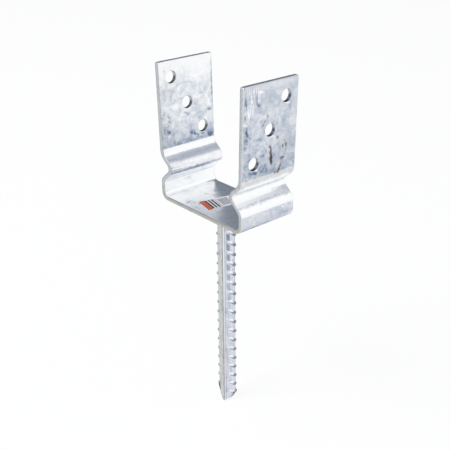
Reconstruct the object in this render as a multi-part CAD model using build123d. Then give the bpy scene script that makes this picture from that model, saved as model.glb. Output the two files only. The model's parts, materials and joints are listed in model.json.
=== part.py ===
from build123d import *
import os
from math import cos, radians, sin, tan

# Timber post base: a galvanised saddle folded from one flat strip, on a ribbed anchor bar that is set
# in concrete. Millimetres, +Z up. X runs across the saddle from leg to leg, Y along the strip's width.
# The origin is the middle of the base plate's underside, where the bar's axis meets it.

# Folded strip. Heights are measured along the strip's middle line, from one bend's corner to the next.
strip_width = 60.0
strip_thickness = 4.0
clear_width = 101.0
pocket_wall = 16.8
ridge_rise = 12.8
ridge_return = 11.4
leg_length = 83.0
ridge_depth = 14.6
leg_splay = 1.5

# Bend radii on the strip's middle line, from the base plate up.
base_bend = 6.0
pocket_bend = 5.7
ridge_bend = 5.4
shoulder_bend = 10.0

# Broken edges and rounded corners of the cut strip.
edge_break = 0.4
corner_radius = 1.5

# Bolt holes, three to a leg on a slant.
hole_diameter = 11.0
hole_from_top = 14.6
hole_step_down = 25.4
hole_step_across = 17.0

# Ribbed anchor bar.
bar_diameter = 16.0
bar_length = 208.0
bar_turn = 28.0
seam_width = 2.2
seam_crest = 1.2
seam_height = 1.0

# Slanted ribs in two rows, one on each side between the bar's two seams.
rib_pitch = 10.3
rib_height = 1.4
rib_crest = 1.3
rib_slant = 33.0
rib_reach = 70.0
rib_root = 0.4
first_rib = 4.9
row_offset = 2.0

# Cropped end: a slanted cut, and the flat where the blade squeezed its lower side. The cut rises
# towards a direction that is turned from the first row of ribs.
crop_slope = 30.0
crop_turn = 20.0
crop_flat_depth = 3.6
crop_flat_length = 13.0

# Fillet weld between the bar and the base plate.
weld_leg = 6.0

# Sticker on the base plate's upper face.
sticker_length = 40.0
sticker_width = 19.5
sticker_thickness = 0.2
sticker_corner = 1.0
sticker_place = (-4.0, 0.5)
sticker_turn = -13.0

bar_radius = bar_diameter / 2
leg_middle = clear_width / 2 + strip_thickness / 2
shoulder_height = strip_thickness / 2 + pocket_wall + ridge_rise + ridge_return
leg_direction = Vector(sin(radians(leg_splay)), 0, cos(radians(leg_splay)))
leg_top = Vector(leg_middle, 0, shoulder_height) + leg_direction * leg_length


def right_half_corners():
    """Corners of the strip's middle line, from the base plate up to the right leg's top."""
    pocket_height = strip_thickness / 2 + pocket_wall
    return [
        (leg_middle, strip_thickness / 2),
        (leg_middle, pocket_height),
        (leg_middle - ridge_depth, pocket_height + ridge_rise),
        (leg_middle, shoulder_height),
        (leg_top.X, leg_top.Z),
    ]


def strip_profile():
    """Side view of the folded strip: its middle line, given the strip's thickness."""
    right = right_half_corners()
    left = [(-x, z) for x, z in reversed(right)]
    bends = [base_bend, pocket_bend, ridge_bend, shoulder_bend]
    middle_line = FilletPolyline(*left, *right, radius=list(reversed(bends)) + bends)
    return trace(middle_line, line_width=strip_thickness)


def leg_holes():
    """Punches for the right leg's three holes, square to the leg."""
    across = Vector(0, 1, 0)
    outward = leg_direction.cross(across) * -1
    on_leg = Plane(origin=leg_top, x_dir=across, z_dir=outward)
    places = [
        ((1 - k) * hole_step_across, -hole_from_top - k * hole_step_down)
        for k in range(3)
    ]
    punch_height = 3 * strip_thickness
    punch = Cylinder(hole_diameter / 2, punch_height)
    return [on_leg * Pos(x, y) * punch for x, y in places]


def make_saddle():
    """The strip folded to a U, with a ridge in each leg that holds the timber off the base plate."""
    strip = extrude(Plane.XZ * strip_profile(), amount=strip_width / 2, both=True)
    leg_ends = strip.faces().sort_by(Axis.Z)[-2:]
    corners = [e for face in leg_ends for e in face.edges().filter_by(Axis.Y, reverse=True)]
    strip = fillet(corners, corner_radius)
    sides = strip.faces().filter_by(Axis.Y)
    strip = chamfer([e for face in sides for e in face.edges()], edge_break)
    right_punches = leg_holes()
    left_punches = [Rot(0, 0, 180) * punch for punch in right_punches]
    return strip - right_punches - left_punches


def rib(slant):
    """One crescent rib about the local Z axis, highest on +X and run out before the seams.

    It is part of a tilted ring. The ring's radius and its offset are set so that the crest stands
    rib_height proud on +X and sinks into the bar at rib_reach degrees on each side. The ring runs on
    a little further inside the bar.
    """
    run_on = 10
    crest_x = bar_radius + rib_height
    run_out_x = bar_radius * cos(radians(rib_reach))
    run_out_y = bar_radius * sin(radians(rib_reach)) / cos(radians(slant))
    short = crest_x - run_out_x
    ring_radius = (short**2 + run_out_y**2) / (2 * short)
    sink = rib_height + rib_root
    section = Polygon(
        (ring_radius, -rib_crest / 2),
        (ring_radius, rib_crest / 2),
        (ring_radius - sink, rib_crest / 2 + sink),
        (ring_radius - sink, -rib_crest / 2 - sink),
        align=None,
    )
    span = 2 * (rib_reach + run_on)
    ring = Rot(0, 0, -span / 2) * revolve(Plane.XZ * section, Axis.Z, revolution_arc=span)
    return Rot(slant, 0, 0) * Pos(crest_x - ring_radius, 0, 0) * ring


def rib_rows():
    """Both rows of ribs, past both ends of the bar, with the second row mirrored across the seams."""
    count = int(bar_length / rib_pitch) + 2
    right_rib = rib(-rib_slant)
    left_rib = Rot(0, 0, 180) * rib(rib_slant)
    ribs = []
    for k in range(count):
        height = -first_rib - k * rib_pitch
        ribs.append(Pos(0, 0, height) * right_rib)
        ribs.append(Pos(0, 0, height - row_offset) * left_rib)
    return ribs


def bar_section():
    """Round core with a low seam on each side, as the rolls leave it."""
    root = bar_radius - seam_height / 2
    crest = bar_radius + seam_height
    seam = Polygon(
        (root, -seam_width / 2),
        (crest, -seam_crest / 2),
        (crest, seam_crest / 2),
        (root, seam_width / 2),
        align=None,
    )
    return Circle(bar_radius) + Rot(0, 0, 90) * seam + Rot(0, 0, -90) * seam


def crop_cut():
    """What the shear takes off below the bar: the slanted end and the flat beside it."""
    far = 2 * bar_diameter
    tip_x = crop_flat_depth - bar_radius
    flat_lean = crop_flat_length / crop_flat_depth
    end_lean = tan(radians(crop_slope))
    outline = Polygon(
        (tip_x, -bar_length),
        (far, -bar_length + (far - tip_x) * end_lean),
        (far, -bar_length - far),
        (-far, -bar_length - far),
        (-far, -bar_length + (tip_x + far) * flat_lean),
        align=None,
    )
    return Rot(0, 0, crop_turn) * extrude(Plane.XZ * outline, amount=far, both=True)


def make_anchor_bar():
    """Ribbed bar, cut square under the plate and cropped at its lower end."""
    spare = 2 * rib_pitch
    stock = Pos(0, 0, -bar_length - spare) * extrude(bar_section(), amount=bar_length + 2 * spare)
    stock = stock + rib_rows()
    wide = 2 * bar_diameter
    above = Pos(0, 0, spare) * Box(wide, wide, 2 * spare)
    return Rot(0, 0, bar_turn) * (stock - above - crop_cut())


def make_weld(bar):
    """Fillet weld all round the bar, fitted to the bar's ribs and seams."""
    inside = bar_radius / 2
    section = Polygon(
        (inside, 0),
        (bar_radius + weld_leg, 0),
        (bar_radius, -weld_leg),
        (inside, -weld_leg),
        align=None,
    )
    return revolve(Plane.XZ * section, Axis.Z) - bar


def make_sticker():
    """Thin paper sticker laid on the base plate between the legs."""
    outline = RectangleRounded(sticker_width, sticker_length, sticker_corner)
    sheet = extrude(outline, amount=sticker_thickness)
    return Pos(*sticker_place, strip_thickness) * Rot(0, 0, sticker_turn) * sheet


anchor_bar = make_anchor_bar()
pieces = {
    "saddle": make_saddle(),
    "anchor_bar": anchor_bar,
    "weld_bead": make_weld(anchor_bar),
    "sticker": make_sticker(),
}

os.makedirs("parts", exist_ok=True)
for name, piece in pieces.items():
    export_step(piece, f"parts/{name}.step")
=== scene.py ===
import json
from collections import namedtuple
from math import atan2, ceil, copysign, cos, degrees, dist, floor, hypot, pi, radians, sin, sqrt, tan

import bpy
from bpy.props import FloatProperty, FloatVectorProperty, IntProperty, PointerProperty
from bpy.types import Operator, Panel, PropertyGroup
from mathutils import Matrix, Vector, noise


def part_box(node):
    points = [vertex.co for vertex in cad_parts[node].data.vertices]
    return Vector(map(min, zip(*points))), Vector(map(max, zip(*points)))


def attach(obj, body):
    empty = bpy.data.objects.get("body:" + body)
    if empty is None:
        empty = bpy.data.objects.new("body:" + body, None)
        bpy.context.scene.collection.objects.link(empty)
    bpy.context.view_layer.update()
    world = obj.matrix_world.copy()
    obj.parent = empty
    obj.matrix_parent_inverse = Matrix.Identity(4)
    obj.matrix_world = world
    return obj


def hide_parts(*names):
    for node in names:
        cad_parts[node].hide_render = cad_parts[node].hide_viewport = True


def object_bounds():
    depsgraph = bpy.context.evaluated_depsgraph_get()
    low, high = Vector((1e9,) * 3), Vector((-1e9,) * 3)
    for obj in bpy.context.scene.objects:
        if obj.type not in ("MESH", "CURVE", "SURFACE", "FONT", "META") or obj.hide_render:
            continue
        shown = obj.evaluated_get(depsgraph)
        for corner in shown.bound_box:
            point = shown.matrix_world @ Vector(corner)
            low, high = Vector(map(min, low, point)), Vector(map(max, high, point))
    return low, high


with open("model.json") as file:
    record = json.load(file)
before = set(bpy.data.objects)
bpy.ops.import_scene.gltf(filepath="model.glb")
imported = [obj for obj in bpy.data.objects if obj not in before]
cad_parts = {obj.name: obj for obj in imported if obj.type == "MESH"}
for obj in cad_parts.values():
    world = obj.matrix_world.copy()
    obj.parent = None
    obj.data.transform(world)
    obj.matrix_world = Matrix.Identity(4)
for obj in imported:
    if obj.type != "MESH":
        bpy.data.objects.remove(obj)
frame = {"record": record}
cad_low, cad_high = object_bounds()

bl_info = {
    "name": "Timber Post Base",
    "version": (1, 0, 0),
    "blender": (4, 5, 0),
    "location": "3D View > Sidebar > Post Base",
    "description": "Builds a galvanised timber post base: folded strip, ribbed bar, weld and sticker",
    "category": "Object",
}

MM = 0.001
BODY = "root"
WHITE = (1.0, 1.0, 1.0, 1.0)
SHARP_ANGLE = radians(50)


def tone(red, green, blue):
    """Linear colour of a tone as a screen shows it, each channel from 0 to 255."""
    channels = (red / 255, green / 255, blue / 255)
    return tuple(c / 12.92 if c <= 0.04045 else ((c + 0.055) / 1.055) ** 2.4 for c in channels)


def length(name, description, default):
    """A size in metres that a user may change."""
    return FloatProperty(
        name=name, description=description, default=default, min=0.0, unit="LENGTH", precision=5
    )


def shift(name, description, default):
    """A distance in metres that may be negative."""
    return FloatProperty(name=name, description=description, default=default, unit="LENGTH", precision=5)


def position(name, description, default):
    """A place in metres."""
    return FloatVectorProperty(
        name=name, description=description, default=default, size=len(default), unit="LENGTH"
    )


def angle(name, description, default):
    """An angle that a user may change, given in degrees."""
    return FloatProperty(name=name, description=description, default=radians(default), unit="ROTATION")


def colour(name, description, default):
    """A colour that a user may change."""
    return FloatVectorProperty(
        name=name, description=description, default=default, subtype="COLOR", size=3, min=0.0, max=1.0
    )


def amount(name, description, default, highest=1.0):
    """A plain number that a user may change."""
    return FloatProperty(name=name, description=description, default=default, min=0.0, max=highest)


def count(name, description, default):
    """A whole number that a user may change."""
    return IntProperty(name=name, description=description, default=default, min=4)


class StripSettings(PropertyGroup):
    """Sizes of the folded strip, on its middle line from one bend's corner to the next."""

    thickness: length("Thickness", "Thickness of the flat strip", 4.0 * MM)
    clear_width: length("Clear width", "Room between the legs at the shoulder", 101.0 * MM)
    pocket_wall: length("Pocket wall", "Rise from the base plate to the ridge", 16.8 * MM)
    ridge_rise: length("Ridge rise", "Height of the ridge's lower flank", 12.8 * MM)
    ridge_return: length("Ridge return", "Height of the ridge's upper flank", 11.4 * MM)
    ridge_depth: length("Ridge depth", "How far the ridge stands in from the leg", 14.6 * MM)
    leg_length: length("Leg length", "Length of the leg above the shoulder", 83.0 * MM)
    leg_splay: angle("Leg splay", "Outward lean of each leg", 1.5)
    base_bend: length("Base bend", "Radius of the bend at the base plate", 6.0 * MM)
    pocket_bend: length("Pocket bend", "Radius of the bend below the ridge", 5.7 * MM)
    ridge_bend: length("Ridge bend", "Radius of the bend at the ridge's tip", 5.4 * MM)
    shoulder_bend: length("Shoulder bend", "Radius of the bend where the leg starts", 10.0 * MM)
    corner_radius: length("Corner radius", "Radius of the leg's top corners", 1.5 * MM)
    edge_round: length("Edge rounding", "Rounding of the sheared edges under the zinc", 0.5 * MM)
    hole_round: length("Hole rounding", "Rounding of the punched holes' rims", 0.35 * MM)
    hole_dish: length("Hole dish", "How deep the punch draws the face in beside a hole", 0.22 * MM)
    dish_reach: length("Dish reach", "How far that dish reaches from the hole's rim", 1.3 * MM)
    waviness: length("Waviness", "Unevenness of the rolled strip", 0.07 * MM)
    edge_waviness: length("Edge waviness", "Unevenness of the sheared edges", 0.12 * MM)
    bend_ease: length("Bend ease", "How far a bend's curve eases into the flat beside it", 1.8 * MM)
    bend_bulge: amount("Bend bulge", "How far the strip's edges swell inside a bend", 0.15)
    cell: length("Cell", "Size of the mesh cells on the flat stretches", 0.9 * MM)
    bend_cell: length("Bend cell", "Size of the mesh cells round the bends", 0.5 * MM)
    hole_block: length("Hole block", "Half side of the square that holds a hole's ring of cells", 8.0 * MM)


class BarSettings(PropertyGroup):
    """Sizes of the ribbed anchor bar."""

    diameter: length("Diameter", "Diameter of the bar's round core", 16.0 * MM)
    turn: angle("Turn", "Direction of the first row of ribs, from +X towards +Y", 28.0)
    rib_pitch: length("Rib pitch", "Distance from one rib to the next", 10.3 * MM)
    rib_height: length("Rib height", "How far a rib stands proud at its highest", 1.4 * MM)
    rib_softness: length("Rib softness", "Roundness of a rib's crest", 0.75 * MM)
    rib_root: length("Rib root", "Rounding where a rib meets the core", 0.22 * MM)
    rib_slant: angle("Rib slant", "Slant of the ribs", 33.0)
    rib_reach: angle("Rib reach", "How far a rib runs to each side of its row's middle", 70.0)
    first_rib: length("First rib", "Depth of the first rib below the base plate", 4.9 * MM)
    row_offset: length("Row offset", "How much lower the second row's ribs are", 2.0 * MM)
    seam_height: length("Seam height", "How far the two seams stand proud", 1.0 * MM)
    seam_crest: length("Seam crest", "Half width of a seam's top", 0.45 * MM)
    seam_foot: length("Seam foot", "Half width of a seam's foot", 1.1 * MM)
    crop_slope: angle("Crop slope", "Slope of the sheared end", 30.0)
    crop_turn: angle("Crop turn", "Direction in which the cut rises, from the first row of ribs", 20.0)
    crop_flat_depth: length("Crop flat depth", "How far the shear squeezed in one side", 3.6 * MM)
    crop_flat_length: length("Crop flat length", "Height of that squeezed flat", 13.0 * MM)
    unevenness: length("Unevenness", "Lumps of zinc and mill scale on the bar", 0.09 * MM)
    columns: count("Columns", "Mesh columns round the bar", 156)
    row_height: length("Row height", "Height of one row of mesh cells", 0.4 * MM)


class WeldSettings(PropertyGroup):
    """Sizes of the fillet weld under the base plate."""

    leg: length("Leg", "Leg length of the fillet", 6.0 * MM)
    crown: length("Crown", "How far the bead bulges out between its toes", 0.8 * MM)
    ripple_depth: length("Ripple depth", "Depth of the ripples along the bead", 0.28 * MM)
    ripple_lag: amount("Ripple lag", "How far a ripple's middle trails its toes, in ripples", 0.9, 4.0)
    ripples: count("Ripples", "Ripples round the bead", 34)
    columns: count("Columns", "Mesh columns round the bead", 408)
    rows: count("Rows", "Mesh rows across the bead", 18)


class StickerSettings(PropertyGroup):
    """Place and colours of the paper sticker on the base plate."""

    width: length("Width", "Width of the sticker", 19.5 * MM)
    length: length("Length", "Length of the sticker", 40.0 * MM)
    thickness: length("Thickness", "Thickness of the sticker", 0.2 * MM)
    turn: angle("Turn", "Turn of the sticker's length from +Y towards -X", -13.0)
    place: position("Place", "Middle of the sticker on the plate", (-4.0 * MM, 0.5 * MM))
    paper: colour("Paper", "Bare paper", tone(226, 226, 228))
    fibres: colour("Fibres", "Darkest fibres of the paper", tone(214, 214, 218))
    panel: colour("Panel", "Panel across the sticker's end", tone(180, 84, 50))
    bars: colour("Bars", "Evenly ruled bars beside the panel", tone(34, 34, 38))
    rows: colour("Rows", "Fine rows of grey", tone(108, 104, 108))
    panel_end: length("Panel's end", "How far the panel reaches from the sticker's end", 5.2 * MM)
    bars_end: length("Bars' end", "How far the ruled bars reach from the sticker's end", 15.0 * MM)
    bar_pitch: length("Bar pitch", "Distance from one ruled bar to the next", 3.1 * MM)
    bar_share: amount("Bar share", "Share of the pitch that a bar fills", 0.6)
    bar_margin: length("Bar margin", "Bare paper beside the bars", 0.6 * MM)
    rows_start: length("Rows' start", "Where the grey rows start, from the sticker's end", 16.8 * MM)
    rows_end: length("Rows' end", "Where the grey rows end", 26.5 * MM)
    row_pitch: length("Row pitch", "Distance from one grey row to the next", 1.3 * MM)
    row_share: amount("Row share", "Share of the pitch that a row fills", 0.55)
    row_margin: length("Row margin", "Bare paper beside the rows", 2.4 * MM)


class FinishSettings(PropertyGroup):
    """Colours of the zinc and of the bare metal."""

    bright: colour("Bright zinc", "Clean, smooth zinc", tone(253, 254, 255))
    dark: colour("Dark zinc", "Dull bluish zinc", tone(103, 131, 167))
    deep: colour("Deep stain", "The darkest stains", tone(99, 111, 127))
    soil: colour("Soil", "Brown-black handling marks", tone(86, 80, 80))
    chalk: colour("Chalk", "Pale zinc salts", tone(215, 217, 216))
    edge: colour("Cut edge", "Zinc over the sheared edges", tone(198, 200, 201))
    # Warm tint of the base plate's sheared edge, a painted reflection.
    warm_edge_reflection: colour("Warm edge", "Sheared edge of the base plate", tone(188, 186, 176))
    # Painted shade line along the sheared edge's left or upper corner.
    edge_shade_line: colour("Edge line", "Dark line along the sheared edge's inner corner", tone(146, 154, 162))
    # Painted shade inside the punched holes.
    bore: colour("Bore", "Burnt zinc inside the punched holes", tone(98, 102, 114))
    # The bar's two sides are painted as reflections: the first row's side bright and bluish, the second
    # row's side darker and more neutral.
    bar: colour("Bar zinc", "Zinc on the bar's first row of ribs", tone(226, 230, 240))
    bar_shaded_side: colour("Bar's second row", "Zinc on the bar's second row of ribs", tone(210, 212, 210))
    # Also the painted shade between and under the bar's ribs, on its shaded side and beside its seam.
    bar_dark_and_shade: colour("Dark bar zinc", "Dull zinc between and below the bar's ribs", tone(108, 121, 142))
    rust: colour("Rust", "Rust on the bar's sheared tip", tone(96, 78, 56))


class StudioSettings(PropertyGroup):
    """Camera, floor and light."""

    azimuth: angle("Azimuth", "Camera's direction round the object", 49.459)
    elevation: angle("Elevation", "Camera's height above the horizon", 25.230)
    roll: angle("Roll", "Camera's roll", -0.599)
    distance: length("Distance", "Camera's distance from the object's origin", 702.308 * MM)
    lens: FloatProperty(name="Lens", description="Focal length", default=62.713, unit="CAMERA")
    aim_right: shift("Aim right", "Aim beside the origin", -0.762 * MM)
    aim_up: shift("Aim up", "Aim above the origin", -15.994 * MM)
    floor_size: length("Floor size", "Side of the floor", 12.0)
    floor: colour("Floor", "Floor's colour", (0.9, 0.9, 0.9))
    backdrop_share: amount("Backdrop share", "Share of the floor's look that is the white backdrop", 0.92)
    sky: colour("Sky", "Light from overhead", tone(166, 172, 186))
    horizon: colour("Horizon", "Light from the horizon", tone(226, 228, 232))
    wall_left: angle("Wall's left edge", "Azimuth of the white wall's left edge", 64.6)
    wall_right: angle("Wall's right edge", "Azimuth of the white wall's right edge", -50.0)
    wall_top: angle("Wall's top", "Elevation of the white wall's top", 62.0)
    wall_softness: amount("Wall softness", "Softness of the white wall's edges", 0.025)
    flag_direction: FloatVectorProperty(
        name="Flag direction", description="Where the dark flag is", default=(-0.687, 0.588, 0.42),
        subtype="DIRECTION",
    )
    flag_reach: angle("Flag reach", "How far the dark flag reaches round its middle", 30.0)
    flag_edge: angle("Flag edge", "Softness of the dark flag's edge", 12.0)
    flag: colour("Flag", "The dark flag's tone", tone(120, 128, 139))
    lamp_place: position("Lamp place", "Where the soft box stands", (-0.8, -2.4, 2.6))
    lamp_size: length("Lamp size", "Side of the soft box", 2.0)
    lamp_power: amount("Lamp power", "Power of the soft box in watts", 104.0, 500.0)


class PostBaseSettings(PropertyGroup):
    """All the sizes and colours, by piece."""

    strip: PointerProperty(type=StripSettings)
    bar: PointerProperty(type=BarSettings)
    weld: PointerProperty(type=WeldSettings)
    sticker: PointerProperty(type=StickerSettings)
    finish: PointerProperty(type=FinishSettings)
    studio: PointerProperty(type=StudioSettings)


def smooth_step(low, high, value):
    """0 below the low value, 1 above the high one, and smooth between."""
    share = min(max((value - low) / (high - low), 0.0), 1.0)
    return share * share * (3 - 2 * share)


def smooth_top(first, second, blend):
    """The higher of two heights, with the corner between them rounded."""
    return (first + second + sqrt((first - second) ** 2 + blend**2)) / 2


def new_object(name, data):
    """A new object in the scene."""
    item = bpy.data.objects.new(name, data)
    bpy.context.scene.collection.objects.link(item)
    return item


def new_piece(name, points, faces, fields, material, node):
    """A smooth mesh that stands for one node of the frame and rides on its body."""
    mesh = bpy.data.meshes.new(name)
    mesh.from_pydata(points, [], faces)
    mesh.validate()
    mesh.shade_smooth()
    mesh.materials.append(material)
    for field, values in fields.items():
        store(mesh, field, values)
    piece = new_object(name, mesh)
    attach(piece, BODY)
    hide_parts(node)
    return piece


def store(mesh, name, values):
    """Keeps one number or one vector for each point of the mesh, for its material to read."""
    if isinstance(values[0], tuple):
        layer = mesh.attributes.new(name, "FLOAT_VECTOR", "POINT")
        layer.data.foreach_set("vector", [part for value in values for part in value])
    else:
        layer = mesh.attributes.new(name, "FLOAT", "POINT")
        layer.data.foreach_set("value", values)


def joined(first, second):
    """Faces between two closed loops with as many points."""
    following = [*range(1, len(first)), 0]
    return [(first[k], second[k], second[after], first[after]) for k, after in enumerate(following)]


class Shader:
    """Adds nodes to a node tree and joins them, one short call for each."""

    def __init__(self, owner):
        owner.use_nodes = True
        self.tree = owner.node_tree
        self.tree.nodes.clear()

    def add(self, kind, inputs=None, **settings):
        """A node with its settings and with its inputs set or joined."""
        node = self.tree.nodes.new(kind)
        for name, value in settings.items():
            setattr(node, name, value)
        for name, value in (inputs or {}).items():
            self.put(node.inputs[name], value)
        return node

    def put(self, socket, value):
        """Joins an output to the socket, or sets the socket's own value."""
        if isinstance(value, bpy.types.NodeSocket):
            self.tree.links.new(value, socket)
        elif socket.type == "RGBA" and len(value) == 3:
            socket.default_value = (*value, 1.0)
        else:
            socket.default_value = value

    def attribute(self, name):
        """A value that is kept with the mesh."""
        return self.add("ShaderNodeAttribute", attribute_name=name)

    def field(self, name):
        """A plain number that is kept with the mesh."""
        return self.attribute(name).outputs["Fac"]

    def place(self):
        """The place on the object, in metres."""
        return self.add("ShaderNodeTexCoord").outputs["Object"]

    def math(self, operation, first, second=0.0, third=0.0, clamp=False):
        """One sum on plain numbers."""
        inputs = {0: first, 1: second, 2: third}
        return self.add("ShaderNodeMath", inputs, operation=operation, use_clamp=clamp).outputs[0]

    def times(self, first, *others):
        """Product of plain numbers."""
        for other in others:
            first = self.math("MULTIPLY", first, other)
        return first

    def plus(self, first, *others):
        """Sum of plain numbers."""
        for other in others:
            first = self.math("ADD", first, other)
        return first

    def plus_shares(self, total, *pairs):
        """A number plus others, each one times its weight."""
        for value, weight in pairs:
            total = self.math("MULTIPLY_ADD", value, weight, total)
        return total

    def minus(self, first, second):
        """Difference of two plain numbers."""
        return self.math("SUBTRACT", first, second)

    def dot(self, first, second):
        """How far one vector points along another."""
        node = self.add("ShaderNodeVectorMath", {0: first, 1: second}, operation="DOT_PRODUCT")
        return node.outputs["Value"]

    def ramp(self, value, low, high, to_low=0.0, to_high=1.0):
        """Smoothly maps one range of a number to another."""
        inputs = {"Value": value, "From Min": low, "From Max": high, "To Min": to_low, "To Max": to_high}
        return self.add("ShaderNodeMapRange", inputs, interpolation_type="SMOOTHSTEP").outputs["Result"]

    def near(self, value, middle, far, close, most=1.0):
        """0 from the far distance to a middle value outwards, and the most from the close one inwards."""
        return self.ramp(self.math("ABSOLUTE", self.minus(value, middle)), far, close, 0.0, most)

    def mix(self, share, first, second):
        """Colour between two others."""
        return self.add("ShaderNodeMix", {0: share, 6: first, 7: second}, data_type="RGBA").outputs[2]

    def layered(self, skin, *layers):
        """A colour with others laid over it, each by its share."""
        for share, layer in layers:
            skin = self.mix(share, skin, layer)
        return skin

    def blend(self, share, first, second):
        """Number between two others."""
        return self.add("ShaderNodeMix", {0: share, 2: first, 3: second}, data_type="FLOAT").outputs[0]

    def split(self, vector):
        """The three parts of a vector."""
        return self.add("ShaderNodeSeparateXYZ", {0: vector}).outputs[:3]

    def scaled(self, vector, scale):
        """Coordinates stretched along each axis."""
        node = self.add("ShaderNodeVectorMath", {0: vector, 1: scale}, operation="MULTIPLY")
        return node.outputs["Vector"]

    def noise(self, vector, scale, detail=3.0, roughness=0.55, distortion=0.0):
        """Soft random field, about 0.5 on average."""
        inputs = {"Vector": vector, "Scale": scale, "Detail": detail, "Roughness": roughness}
        return self.add("ShaderNodeTexNoise", {**inputs, "Distortion": distortion}).outputs["Fac"]

    def surface(self, colour, roughness, metallic, height, depth):
        """Ends the material with one principled surface, whose bumps are up to the given depth."""
        normal = self.add("ShaderNodeBump", {"Height": height, "Distance": depth}).outputs["Normal"]
        inputs = {"Base Color": colour, "Roughness": roughness, "Metallic": metallic, "Normal": normal}
        shader = self.add("ShaderNodeBsdfPrincipled", inputs)
        self.add("ShaderNodeOutputMaterial", {"Surface": shader.outputs[0]})


Mark = namedtuple("Mark", "s y half_s half_y strength turn", defaults=[0])


def line(s, half_s, strength):
    """A mark that runs right across the strip."""
    return Mark(s, 0.0, half_s, 60.0, strength)


# Marks on the strip's lower or outer side where s is positive, such as the right leg's outside, and on
# its upper or inner side where s is negative. Millimetres on the flat blank, and degrees.
# Besides real stains, these hold painted shade along the folds and a painted shadow beside a hole.
STAINS_AND_SHADE = (
    Mark(165.5, -12.5, 6.0, 3.0, 0.7, -40),
    Mark(178.2, 0.0, 0.8, 3.0, 0.7),
    Mark(141.0, -26.4, 11.5, 3.2, 0.75, 2),
    Mark(129.0, -15.0, 3.0, 8.0, 0.35, -15),
    Mark(109.0, -19.0, 3.6, 9.0, 0.2),
    Mark(120.0, -26.5, 10.0, 3.0, 0.25),
    Mark(125.0, -8.0, 6.0, 3.0, 0.25, 30),
    Mark(168.0, -27.0, 14.0, 2.6, 0.55),
    Mark(112.0, 23.0, 8.0, 6.0, 0.12),
    Mark(119.0, 5.5, 3.5, 3.5, 0.3),
    Mark(113.0, -5.0, 7.0, 5.0, 0.2, 30),
    Mark(-158.0, 29.0, 30.0, 1.6, 0.9),
    Mark(-174.2, -23.5, 0.7, 1.8, 0.6, -10),
    # Painted shadow along the upper rim of the left leg's top hole.
    Mark(-171.5, -14.0, 3.6, 1.8, 0.25, -25),
    Mark(-159.5, -10.2, 1.2, 1.4, 0.5, 20),
    Mark(-137.0, -26.3, 2.0, 2.0, 0.55),
    Mark(-133.0, -21.5, 1.8, 1.4, 0.5),
    Mark(-130.0, -27.5, 9.0, 4.0, 0.3),
    Mark(-118.6, -22.3, 2.8, 2.4, 0.6),
    Mark(-122.5, -22.0, 6.0, 3.0, 0.3),
    Mark(-148.5, 16.5, 0.7, 5.5, 0.4, -22),
    Mark(-144.0, 25.0, 3.2, 1.2, 0.7, 30),
    Mark(-139.5, 28.0, 3.8, 1.0, 0.7, 20),
    Mark(-132.0, 25.0, 2.4, 4.0, 0.95),
    Mark(-133.0, -1.0, 1.1, 5.4, 0.9, -24),
    Mark(-131.0, 12.0, 0.8, 5.0, 0.3, 10),
    Mark(-113.8, 4.8, 2.8, 5.8, 0.95, -25),
    Mark(-111.0, 9.5, 2.0, 3.4, 0.7, -20),
    Mark(-110.5, 17.0, 0.8, 2.4, 0.6),
    Mark(-107.7, 15.5, 1.6, 3.0, 0.4),
    Mark(-108.5, 25.0, 3.4, 5.2, 0.7),
    Mark(-108.0, -15.5, 3.5, 4.0, 0.3),
    Mark(-107.0, 0.0, 2.2, 30.0, 0.2),
    Mark(75.5, 26.0, 5.0, 7.0, 0.4, 20),
    # Painted shade: the next nine marks run right across the strip along its bends and flanks, such as the
    # dark line under the left leg's ridge.
    line(91.3, 0.8, 0.6),
    line(86.5, 0.9, 0.6),
    line(-66.5, 1.0, 0.6),
    line(-47.5, 1.1, 0.6),
    line(70.6, 2.3, 0.55),
    Mark(52.0, 0.0, 1.2, 36.0, 0.3),
    line(-81.0, 2.3, 1.0),
    line(-92.0, 4.0, 0.3),
    line(-96.8, 1.6, 0.5),
    Mark(-29.5, 0.0, 3.0, 1.2, 0.5, 20),
    Mark(-31.0, -11.0, 2.5, 2.0, 0.4),
    Mark(-22.0, -21.0, 6.0, 4.5, 0.85),
    Mark(-14.5, -18.5, 4.0, 3.0, 0.8),
    Mark(-7.5, -25.5, 6.0, 1.6, 0.9),
    Mark(6.0, -27.2, 9.0, 1.5, 0.6),
    Mark(-21.0, 4.0, 5.0, 3.0, 0.5),
    Mark(-28.0, 14.0, 5.0, 6.0, 0.6, 20),
    Mark(-20.0, 20.0, 5.0, 4.0, 0.5),
    Mark(97.0, -28.0, 6.0, 4.0, 0.45),
    Mark(95.5, 26.0, 8.0, 6.0, 0.75, 30),
    Mark(-24.0, -18.0, 8.0, 11.0, 0.5),
)
SOILED = (
    Mark(121.5, 1.5, 10.5, 1.7, 0.85, -7),
    Mark(128.8, 0.4, 1.6, 1.6, 0.8),
    Mark(116.5, 1.8, 5.0, 2.4, 0.9, -7),
    Mark(135.2, 8.0, 1.5, 1.8, 0.9, 20),
    Mark(126.6, 15.0, 2.6, 1.5, 0.9, 10),
    Mark(126.6, 18.7, 2.9, 1.4, 0.85, -10),
    Mark(122.0, 18.7, 1.7, 1.3, 0.7),
    Mark(130.5, 17.0, 1.2, 1.0, 0.4),
    Mark(116.4, 15.4, 1.4, 2.3, 0.95, 15),
    Mark(115.8, 12.9, 1.3, 1.6, 0.7),
    Mark(110.0, 12.6, 7.0, 1.5, 0.7, 26),
    Mark(105.8, 10.8, 2.6, 2.3, 1.0, 20),
    Mark(104.6, 8.0, 1.0, 3.0, 0.6),
    Mark(182.2, -29.0, 1.4, 1.0, 0.4),
    Mark(155.3, -3.2, 1.3, 1.2, 0.75, 20),
    Mark(151.7, -6.3, 2.0, 0.9, 0.7, 40),
    Mark(149.2, -8.2, 1.6, 0.8, 0.6, 40),
)
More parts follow.
